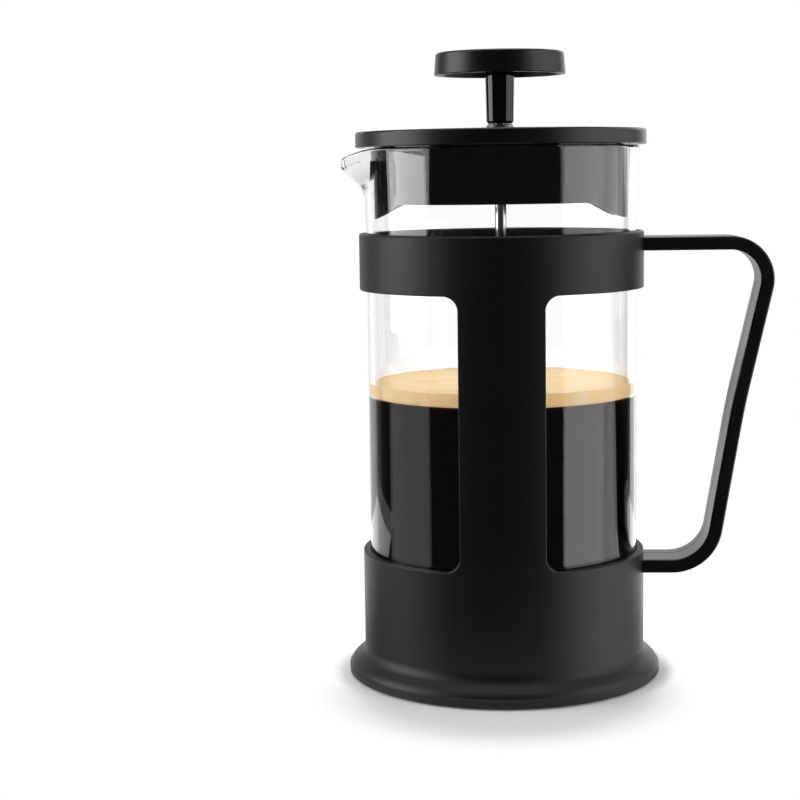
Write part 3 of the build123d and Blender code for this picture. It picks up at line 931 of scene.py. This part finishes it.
@dataclass
class Beaker:
    """The glass beaker with its pulled spout.

    Attributes:
        radius: Outside radius of the straight wall.
        wall: Wall thickness.
        floor: Thickness of the bottom.
        heel: Outside radius between bottom and wall.
        flare: How far the rim stands out from the wall.
        gentle_height: Height of the part below the rim that opens gently.
        quick_height: Height of the part just under the rim that opens faster.
        gentle_share: The gentle part's share of the flare.
        root: Height at which the spout leaves the wall.
        root_ease: Height over which the spout's middle line bends away from the wall.
        root_span: How far below the root the spout still shows.
        least_out: The least that the spout's middle stands out, so that its tangents exist.
        lean: How much the spout's nose moves out for each unit of height.
        nose: Radius of the spout's nose at the lip.
        nose_growth: How much larger that radius is at the root.
        nose_height: Height over which it shrinks to the lip's.
        spare: Room between the spout and the CAD spout's reach.
        droop: How much the lip sinks for each unit that it reaches out.
        columns: Points round the axis.
        low: Height of the underside.
        top: Height of the rim.
        reach: How far the CAD spout stands out from the axis.
    """

    radius: float = 48.0 * MM
    wall: float = 2.0 * MM
    floor: float = 3.0 * MM
    heel: float = 10.0 * MM
    flare: float = 1.3 * MM
    gentle_height: float = 32.5 * MM
    quick_height: float = 5.0 * MM
    gentle_share: float = 0.72
    root: float = 173.4 * MM
    root_ease: float = 1.2 * MM
    root_span: float = 12.0 * MM
    least_out: float = 0.02 * MM
    lean: float = 0.655
    nose: float = 7.0 * MM
    nose_growth: float = 10.0 * MM
    nose_height: float = 13.0 * MM
    spare: float = 0.4 * MM
    droop: float = 0.42
    columns: int = 400
    low: float = field(default_factory=lambda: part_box("glass_beaker")[0].z)
    top: float = field(default_factory=lambda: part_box("glass_beaker")[1].z)
    reach: float = field(default_factory=lambda: -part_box("glass_beaker")[0].x)

    def wall_radius(self, z: Array, inset: float) -> Array:
        """Radius of the round wall: straight, then opening gently, and faster just under the rim.

        With g and q the shares of the gentle and the quick part that lie below the height, the wall
        stands out by flare (share g^1.15 + (1 - share) q^1.6).

        Args:
            z: Heights.
            inset: How far inside the outer surface.

        Returns:
            The radius at each height.
        """
        gentle = np.clip((z - (self.top - self.gentle_height)) / self.gentle_height, 0, 1)
        quick = np.clip((z - (self.top - self.quick_height)) / self.quick_height, 0, 1)
        opening = self.gentle_share * gentle**1.15 + (1 - self.gentle_share) * quick**1.6
        return self.radius - inset + self.flare * opening

    def spout_radius(self, angle: Array, z: Array, inset: float) -> Array:
        """Radius of the wall with the spout.

        The level slice is the wall's circle and a smaller nose circle, joined by their two tangents.
        With c = (wall - nose) / distance of centres, the tangent touches the wall at the angle
        arccos c from the spout's middle; there the wall's circle goes over into the tangent line,
        whose distance from the axis is wall / cos(angle left to that point), and then into the nose.

        Args:
            angle: Angle from the spout's middle, from -pi to pi.
            z: Height, of the same shape.
            inset: How far inside the outer surface.

        Returns:
            The radius at each angle and height.
        """
        wall = self.wall_radius(z, inset)
        rise = z - self.root
        ease = self.root_ease
        lift = 0.5 * (rise + np.sqrt(rise * rise + 4 * ease * ease)) - 0.5 * ease
        out = np.clip(self.lean * lift, self.least_out, None)
        out = np.minimum(out, self.reach - (wall + inset) - self.spare)
        out = np.where(rise > -self.root_span, out, self.least_out)
        below_lip = np.clip(1 - rise / self.nose_height, 0, 1)
        nose = (self.nose - 0.9 * inset) + self.nose_growth * below_lip**2
        centre = wall + out - nose
        touch = np.arccos(np.clip((wall - nose) / centre, -1, 1))
        off = np.abs(angle)
        line = wall / np.cos(np.clip(touch - off, 0, None))
        inside = np.clip(nose**2 - (centre * np.sin(off)) ** 2, 0, None)
        tip = centre * np.cos(off) + np.sqrt(inside)
        nose_end = np.arctan2(nose * np.sin(touch), centre + nose * np.cos(touch))
        return np.where(off < nose_end, tip, line)

    def side(self, inset: float, low: float, heights: Array) -> Array:
        """Half section of one side of the glass: bottom from the axis out, heel, and round wall.

        Args:
            inset: Zero outside, the wall's thickness inside.
            low: Height of the bottom on that side.
            heights: Heights of the wall's points above the heel.

        Returns:
            An (n, 2) array of (radius, height) points.
        """
        heel = self.heel - inset
        middle = self.radius - self.heel
        across = np.linspace(0, middle, 8)[:-1]
        bottom = np.stack([across, np.full(len(across), low)], axis=1)
        z = np.concatenate([[low + heel], heights])
        wall = np.stack([self.wall_radius(z, inset), z], axis=1)
        return np.concatenate([bottom, arc((middle, low + heel), heel, -90, -4, 12), wall])

    def surface(self, profile: Array, inset: float) -> Array:
        """Carry one side of the wall round Z with its spout, which points to -X.

        The columns stand at u - 0.55 sin u, closer together at the spout. Each radius is multiplied
        by that of the wall with the spout over that of the wall without, and the glass sinks by the
        droop times what it gained.

        Args:
            profile: (radius, height) points of the round wall.
            inset: Zero outside, the wall's thickness inside.

        Returns:
            A (rows, columns, 3) array.
        """
        u = np.linspace(-math.pi, math.pi, self.columns, endpoint=False)
        angle = np.broadcast_to(u - 0.55 * np.sin(u), (len(profile), self.columns))
        round_r = np.broadcast_to(profile[:, :1], angle.shape)
        z = np.broadcast_to(profile[:, 1:], angle.shape)
        r = round_r * self.spout_radius(angle, z, inset) / self.wall_radius(z, inset)
        height = z - self.droop * (r - round_r)
        return np.stack([-r * np.cos(angle), -r * np.sin(angle), height], axis=-1)

    def build(self) -> None:
        """Blow the glass: outer side, fire-polished rim as a half circle, inner side.

        The rim's points are middle + cos t spread + sin t along, where spread is half the way from
        the inner to the outer edge, and along goes on from the outer side by the same length.
        """
        spout_low = self.root - self.root_span
        rim = self.top - 0.55 * self.wall - 0.1 * MM
        heights = np.concatenate([
            np.linspace(self.low + self.heel, spout_low, 30)[1:],
            np.linspace(spout_low + 0.5 * MM, rim, 46),
        ])
        outer = self.surface(self.side(0.0, self.low, heights), 0.0)
        inner = self.surface(self.side(self.wall, self.low + self.floor, heights)[::-1], self.wall)
        edge_out, edge_in = outer[-1], inner[0]
        middle, spread = (edge_out + edge_in) / 2, (edge_out - edge_in) / 2
        along = outer[-1] - outer[-2]
        along /= np.linalg.norm(along, axis=1, keepdims=True)
        along *= np.linalg.norm(spread, axis=1, keepdims=True)
        t = np.linspace(0, math.pi, 11)[1:-1, None, None]
        bead = middle + np.cos(t) * spread + np.sin(t) * along
        points = np.concatenate([outer, bead, inner])
        piece = make_piece("beaker_glass_blown", points, grid_faces(len(points), self.columns, False))
        settle(piece, "beaker", "beaker_glass", BlownGlass("glass_clear").material(), "glass_beaker")


@dataclass
class Contents:
    """The coffee in the beaker and the foam on it; they go with the beaker.

    Attributes:
        radius: Radius of the liquid, a hair more than that of the glass's inside, which it wets.
        heel: Radius of the round edge of its underside.
        low: Height of its underside.
        level: Height of the coffee's surface.
        foam_top: Height of the foam's surface.
        rod_hole: Radius of the hole that the foam leaves for the rod.
        climb: Height of the meniscus at the glass and at the rod.
        climb_reach: How far each meniscus reaches.
        swell: Height of the foam's wide waves.
        froth: Height of its short waves.
        waver: Height of the waves of its lower edge.
    """

    radius: float = 46.09 * MM
    heel: float = 7.9 * MM
    low: float = field(default_factory=lambda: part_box("glass_beaker")[0].z + 3.15 * MM)
    level: float = 101.6 * MM
    foam_top: float = 105.8 * MM
    rod_hole: float = 2.4 * MM
    climb: tuple[float, float] = (0.55 * MM, 0.5 * MM)
    climb_reach: tuple[float, float] = (1.3 * MM, 1.6 * MM)
    swell: float = 0.07 * MM
    froth: float = 0.03 * MM
    waver: float = 0.06 * MM

    def coffee(self) -> bpy.types.Object:
        """The liquid: flat bottom, round heel, straight side, flat top under the foam."""
        columns, bevel = 160, 0.3 * MM
        heel = arc((self.radius - self.heel, self.low + self.heel), self.heel, -90, 0, 14)
        top = [(self.radius, self.level - bevel), (self.radius - bevel, self.level), (0.0, self.level)]
        profile = np.concatenate([[(0.0, self.low)], heel, top])
        return make_piece("coffee", spun(profile, columns), grid_faces(len(profile), columns, False))

    def foam(self) -> bpy.types.Object:
        """The foam: uneven top that climbs at the glass and round the rod, and an uneven lower edge.

        The top's height is the level plus climb exp(-distance / reach) at both edges, plus seeded
        waves. The side's lower edge wavers by a fraction of a millimetre.
        """
        rows, columns = 44, 220
        inner, gap, overhang, bevel = self.rod_hole, 0.06 * MM, 0.35 * MM, 0.4 * MM
        share = np.linspace(0, 1, rows) ** 0.8
        a = np.linspace(0, TURN, columns, endpoint=False)[None, :]
        r = (inner + (self.radius - inner) * share)[:, None] + 0 * a
        x, y = r * np.cos(a), r * np.sin(a)
        climb = np.exp(-(self.radius - r) / self.climb_reach[0]) * self.climb[0]
        climb = climb + np.exp(-(r - inner) / self.climb_reach[1]) * self.climb[1]
        top_z = self.foam_top + climb + seeded_waves(x, y, 7, 18, 15 * MM) * self.swell
        top_z = top_z + seeded_waves(x, y, 11, 24, 4 * MM) * self.froth
        top = np.stack([x, y, top_z], axis=-1)
        edge = self.level + overhang + seeded_waves(x[-1:], y[-1:], 5, 12, 9 * MM) * self.waver
        side_z = edge + (top_z[-1:] - edge) * np.linspace(1, 0, 7)[1:, None]
        side = np.stack([x[-1:] + 0 * side_z, y[-1:] + 0 * side_z, side_z], axis=-1)
        under_r = np.linspace(self.radius - bevel, inner, 4)[:, None]
        under_z = 0 * under_r * a + self.level + gap
        under = np.stack([under_r * np.cos(a), under_r * np.sin(a), under_z], axis=-1)
        points = np.concatenate([top, side, under])
        return make_piece("coffee_foam", points, grid_faces(len(points), columns, True), 60.0)

    def build(self) -> None:
        """Pour the coffee and its foam."""
        settle(self.coffee(), "beaker", "beaker_glass", BrewedCoffee("coffee_black", self.level).material())
        settle(self.foam(), "beaker", "beaker_glass", CoffeeFoam("foam_tan").material())


@dataclass
class Lid:
    """The lid: matte cap, glossy strainer skirt with its grille, and the rod's bush.

    Attributes:
        edge_round: How far below the cap's top its rubbed edge, with its painted highlight, lies.
        top: Height of the cap's top.
        low: Height of its lower edge.
    """

    edge_round: float = 0.85 * MM
    top: float = field(default_factory=lambda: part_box("lid_cap")[1].z)
    low: float = field(default_factory=lambda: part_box("lid_cap")[0].z)

    def build(self) -> None:
        """Dress the lid's nodes."""
        edges = (self.top - self.edge_round, self.low)
        cap = GrainedPlastic("lid_cap_grained", roughness=0.35, rubbed_and_sheen_heights=edges)
        dress("lid_cap", cap.material())
        dress("lid_strainer", RibbedPlastic("strainer_polished").material())
        dress("rod_bush", WorkedMetal("bush_satin", (0.42, 0.42, 0.42), 0.36).material())
        log.info("lid: dressed")


@dataclass
class Plunger:
    """The plunger: knob, stem, rod and the filter's stack.

    Attributes:
        spring_turns: Turns of the coil round the filter's edge.
        spring_wire: Radius of the coil's wire.
        screen_bore: Radius of the hole in the wire cloth.
        screen_thick: The cloth's thickness.
        pleats: Pleats in the cloth's turned-up edge.
        pleat_depth: How deep they are.
        edge_round: How far below the knob's top its rubbed edge, with its painted highlight, lies.
        knob_low: Height of the knob's underside.
        knob_top: Height of the knob's top.
    """

    spring_turns: int = 150
    spring_wire: float = 0.32 * MM
    screen_bore: float = 2.1 * MM
    screen_thick: float = 0.3 * MM
    pleats: int = 90
    pleat_depth: float = 0.16 * MM
    edge_round: float = 0.6 * MM
    knob_low: float = field(default_factory=lambda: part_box("plunger_knob")[0].z)
    knob_top: float = field(default_factory=lambda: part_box("plunger_knob")[1].z)

    def spring(self) -> bpy.types.Object:
        """The coil bent to a ring.

        Its centre line is the ring's circle plus a turn about it: with a the angle round the axis
        and t = turns * a, the point is (R + c cos t) outwards and c sin t upwards.
        """
        low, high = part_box("spiral_spring")
        outer, coil = high.x, (high.z - low.z) / 2
        ring = outer - coil
        c = coil - self.spring_wire
        sides = 6
        steps = self.spring_turns * 14
        a = np.linspace(0, TURN, steps, endpoint=False)
        t = self.spring_turns * a
        radial = np.stack([np.cos(a), np.sin(a), 0 * a], axis=1)
        up = np.array([0.0, 0.0, 1.0])
        offset = np.cos(t)[:, None] * radial + np.sin(t)[:, None] * up
        path = ring * radial + c * offset + up * (low.z + coil)
        points = wire_along(path, offset, self.spring_wire, sides)
        return make_piece("spring_coil", points, grid_faces(steps, sides, True), 80.0)

    def screen(self) -> bpy.types.Object:
        """The wire cloth: a flat disc whose edge is turned up and gathered in small pleats.

        The lip's radius is the edge's less depth (1 - sin(pleats a)), so the pleats stay inside it.
        """
        low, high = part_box("mesh_screen")
        edge, thick, bore = high.x, self.screen_thick, self.screen_bore
        lip = rounded(
            [
                (bore, low.z, 0),
                (edge, low.z, 0.9 * MM),
                (edge, high.z, 0.12 * MM),
                (edge - thick, high.z, 0.12 * MM),
                (edge - thick, low.z + thick, 0.7 * MM),
                (bore, low.z + thick, 0),
            ],
            5,
        )
        columns = 720
        points = spun(lip, columns)
        a = np.linspace(0, TURN, columns, endpoint=False)
        rise = np.clip((points[..., 2] - low.z) / (high.z - low.z), 0, 1)
        far = np.hypot(points[..., 0], points[..., 1]) > edge - 3 * MM
        shrink = 1 - far * rise * (self.pleat_depth / edge) * (1 - np.sin(self.pleats * a))
        points[..., :2] *= shrink[..., None]
        return make_piece("screen_woven", points, grid_faces(len(lip), columns, True), 60.0)

    def build(self) -> None:
        """Dress the plunger's nodes, and make the coil and the wire cloth."""
        edges = (self.knob_low, self.knob_top - self.edge_round)
        knob = GrainedPlastic("knob_grained", roughness=0.35, rubbed_and_sheen_heights=edges)
        gloss = PolishedPlastic("stem_polished").material()
        pressed = WorkedMetal("plate_pressed", (0.66, 0.66, 0.67), 0.2, Lay.ROLLED).material()
        turned = WorkedMetal("collar_turned", (0.6, 0.6, 0.61), 0.22).material()
        dress("plunger_knob", knob.material())
        dress("knob_stem", gloss)
        dress("knob_insert", WorkedMetal("insert_brass", (0.86, 0.62, 0.28), 0.25).material())
        rod = WorkedMetal("rod_polished", (0.74, 0.74, 0.75), 0.13, Lay.ALONG, 0.5)
        dress("plunger_rod", rod.material())
        for node in ("spiral_plate", "cross_plate"):
            dress(node, pressed)
        for node in ("rod_stop_collar", "hub_nut"):
            dress(node, turned)
        drawn = WorkedMetal("spring_drawn", (0.7, 0.7, 0.71), 0.2, Lay.ROLLED, 0.8).material()
        settle(self.spring(), "plunger", "spring_steel", drawn, "spiral_spring")
        settle(self.screen(), "plunger", "mesh_steel", WovenWire("wire_cloth").material(), "mesh_screen")
        log.info("plunger: dressed")


# -------------------------------------------------------------------- studio


@dataclass(frozen=True)
class Softbox:
    """A flat rectangular light that faces its aim.

    Attributes:
        name: Its name.
        centre: Its place, in metres.
        width: Its level side.
        height: Its upright side.
        glow: Its brightness, where 1 is the backdrop's white.
        aim: The point that it faces.
        hidden: Whether it only lights dull surfaces and is itself never seen or mirrored.
    """

    name: str
    centre: Point
    width: float
    height: float
    glow: float
    aim: Point
    hidden: bool = False

    def hang(self) -> None:
        """Add the light; its power is brightness times area times pi."""
        lamp = bpy.data.lights.new(self.name, "AREA")
        lamp.shape = "RECTANGLE"
        lamp.size, lamp.size_y = self.width, self.height
        lamp.energy = self.glow * self.width * self.height * math.pi
        light = bpy.data.objects.new(self.name, lamp)
        toward = Vector(self.aim) - Vector(self.centre)
        light.location = self.centre
        light.rotation_euler = toward.to_track_quat("-Z", "Y").to_euler()
        if self.hidden:
            light.visible_camera = light.visible_glossy = light.visible_transmission = False
        bpy.context.scene.collection.objects.link(light)


@dataclass(frozen=True)
class Viewpoint:
    """The camera's place and the way it looks.

    Attributes:
        distance: How far in front of the object's axis it stands.
        height: Its height above the table.
        pitch_deg: How far it looks down.
        yaw_deg: How far it is turned to the left.
        roll_deg: How far it is turned about its own line of sight.
        lens: Its focal length, in millimetres.
        sensor: Its sensor's width, in millimetres.
    """

    distance: float = 663.4 * MM
    height: float = 180.8 * MM
    pitch_deg: float = 7.004
    yaw_deg: float = 3.185
    roll_deg: float = -0.80
    lens: float = 83.17
    sensor: float = 36.0

    def place(self) -> None:
        """Set the camera up: forward is turned left by the yaw and down by the pitch, then rolled."""
        yaw, pitch, roll = (math.radians(v) for v in (self.yaw_deg, self.pitch_deg, self.roll_deg))
        right = Vector((math.cos(yaw), math.sin(yaw), 0.0))
        level = Vector((-math.sin(yaw), math.cos(yaw), 0.0))
        forward = level * math.cos(pitch) + Vector((0, 0, -math.sin(pitch)))
        up = right.cross(forward)
        side = right * math.cos(roll) + up * math.sin(roll)
        top = up * math.cos(roll) - right * math.sin(roll)
        turn = Matrix((side, top, -forward)).transposed().to_4x4()
        lens = bpy.data.cameras.new("camera")
        lens.lens, lens.sensor_width, lens.sensor_fit = self.lens, self.sensor, "HORIZONTAL"
        lens.clip_start, lens.clip_end = 0.01, 20.0
        camera = bpy.data.objects.new("camera", lens)
        camera.matrix_world = Matrix.Translation((0.0, -self.distance, self.height)) @ turn
        bpy.context.scene.collection.objects.link(camera)
        bpy.context.scene.camera = camera


@dataclass
class Studio:
    """A pale table under soft light, with a white backdrop behind it.

    Attributes:
        table_radius: The table's radius, in metres.
        table_shades: The two whites that its paint wavers between.
        lit_floor: The table's own glow, as of paper lit from below.
        contact: Radii between which the shadow under the foot melts away.
        shade_y: Y of the middle of the soft shadow in front of the foot.
        shade: Radii about that middle between which it melts away.
        backdrop: The lit backdrop's brightness, as glossy and dull surfaces see it.
        backdrop_turn_deg: How far the backdrop's middle is turned to the left.
        backdrop_edge: Cosines of the angles from its middle between which it ends.
        stray_edge: The same, for light that one reflection inside the glass has turned aside.
        dark: Brightness of the surroundings beside the backdrop.
        through_glass: Brightness of the white that is seen through clear glass.
    """

    table_radius: float = 0.95
    table_shades: tuple[Colour, Colour] = ((0.90, 0.90, 0.90), (0.93, 0.93, 0.93))
    lit_floor: float = 0.13
    contact: tuple[float, float] = (0.0572, 0.0635)
    shade_y: float = -0.035
    shade: tuple[float, float] = (0.040, 0.068)
    backdrop: float = 0.85
    backdrop_turn_deg: float = 9.0
    backdrop_edge: tuple[float, float] = (0.80, 0.87)
    stray_edge: tuple[float, float] = (0.72, 0.88)
    dark: float = 0.035
    through_glass: float = 1.12

    def table(self) -> None:
        """A round pale table whose edge melts into the backdrop."""
        columns = 96
        rings = np.array([0.0, 0.08, 0.16, 0.3, 0.55, self.table_radius])
        profile = np.stack([rings, np.zeros(len(rings))], axis=1)
        top = make_piece("table_top", spun(profile, columns), grid_faces(len(rings), columns, False))
        if top.data.polygons[0].normal.z < 0:
            top.data.flip_normals()
        g = Graph("table_white")
        paint = g.surface(
            Base_Color=g.blend(g.noise(9.0, 3.0), *self.table_shades),
            Roughness=0.5,
            Specular_IOR_Level=0.25,
            Emission_Color=WHITE,
            Emission_Strength=self.lit_floor,
        )
        clear = g.add("ShaderNodeBsdfTransparent")
        edge = g.fade(g.radius(), *self.contact) * g.fade(g.radius(self.shade_y), *self.shade)
        top.data.materials.append(g.close(g.add("ShaderNodeMixShader", None, {0: edge, 1: paint, 2: clear})))

    def air(self) -> None:
        """The surroundings: white to the eye and through clear glass; else a lit backdrop and dark sides.

        A ray that has only gone through clear glass, or that two or more reflections lead along
        inside its wall, sees white. So does one that a single reflection inside the first wall it
        meets turns towards the backdrop. Any other ray sees the backdrop behind the object, whose
        middle is turned a little to the left, or the dark surroundings beside it.
        """
        g = Graph("studio_air", world=True)
        eye = g.add("ShaderNodeLightPath", output="Is Camera Ray")
        through = g.add("ShaderNodeLightPath", output="Is Transmission Ray")
        bounced = g.add("ShaderNodeLightPath", output="Glossy Depth")
        bounced = bounced + g.add("ShaderNodeLightPath", output="Diffuse Depth")
        passed = g.add("ShaderNodeLightPath", output="Transmission Depth")
        turn = math.radians(self.backdrop_turn_deg)
        toward = g.axis("Y") * math.cos(turn) - g.axis("X") * math.sin(turn)
        never, once, one_wall = 0.5, 1.5, 2.5
        astray = (1.0 - g.fade(toward, *self.stray_edge)) * (1.0 - bounced.above(once))
        led = (1.0 - astray) * (1.0 - passed.above(one_wall))
        clear = through * (1.0 - bounced.above(never) * (1.0 - led))
        lit = g.fade(toward, *self.backdrop_edge)
        field_light = self.dark + lit * (self.backdrop - self.dark)
        glow = field_light * (1.0 - clear) + clear * self.through_glass
        glow = glow * (1.0 - eye) + eye
        paper = g.add("ShaderNodeBackground", None, {"Color": (*WHITE, 1.0), "Strength": glow})
        bpy.context.scene.world = g.close(paper)

    def build(self) -> None:
        """Set the table, the surroundings, the lights and the camera."""
        self.table()
        self.air()
        lights = (
            Softbox("left_high", (-0.90, -0.085, 0.50), 0.70, 0.90, 3.5, (0.0, -0.085, 0.50)),
            Softbox("left_low", (-0.90, -0.055, -0.28), 0.76, 0.60, 0.5, (0.0, -0.055, -0.28)),
            Softbox("right_front", (0.90, -0.31, 0.25), 0.74, 1.70, 1.6, (0.0, -0.31, 0.25)),
            Softbox("right_rear", (0.90, 0.33, 0.25), 0.54, 1.70, 1.05, (0.0, 0.33, 0.25)),
            Softbox("right_back", (0.50, 0.88, 0.25), 0.40, 1.70, 1.25, (0.0, 0.0, 0.25)),
            Softbox("overhead", (0.0, 0.15, 1.25), 0.9, 0.9, 2.6, (0.0, 0.0, 0.1)),
            Softbox("sweep", (0.0, 0.18, -0.001), 0.60, 0.20, 1.0, (0.0, 0.18, 1.0)),
            Softbox("foam_fill", (0.0, 0.001, 0.157), 0.066, 0.066, 1.7, (0.0, 0.0, 0.0), hidden=True),
        )
        for light in lights:
            light.hang()
        bpy.context.scene.view_settings.view_transform = "Standard"
        Viewpoint().place()
        log.info("studio: %d lights", len(lights))


def main() -> None:
    """Build and dress the press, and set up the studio."""
    logging.basicConfig(level=logging.INFO, format="%(name)s: %(message)s")
    for part in (Holder(), Beaker(), Contents(), Lid(), Plunger(), Studio()):
        part.build()


if __name__ == "__main__":
    main()
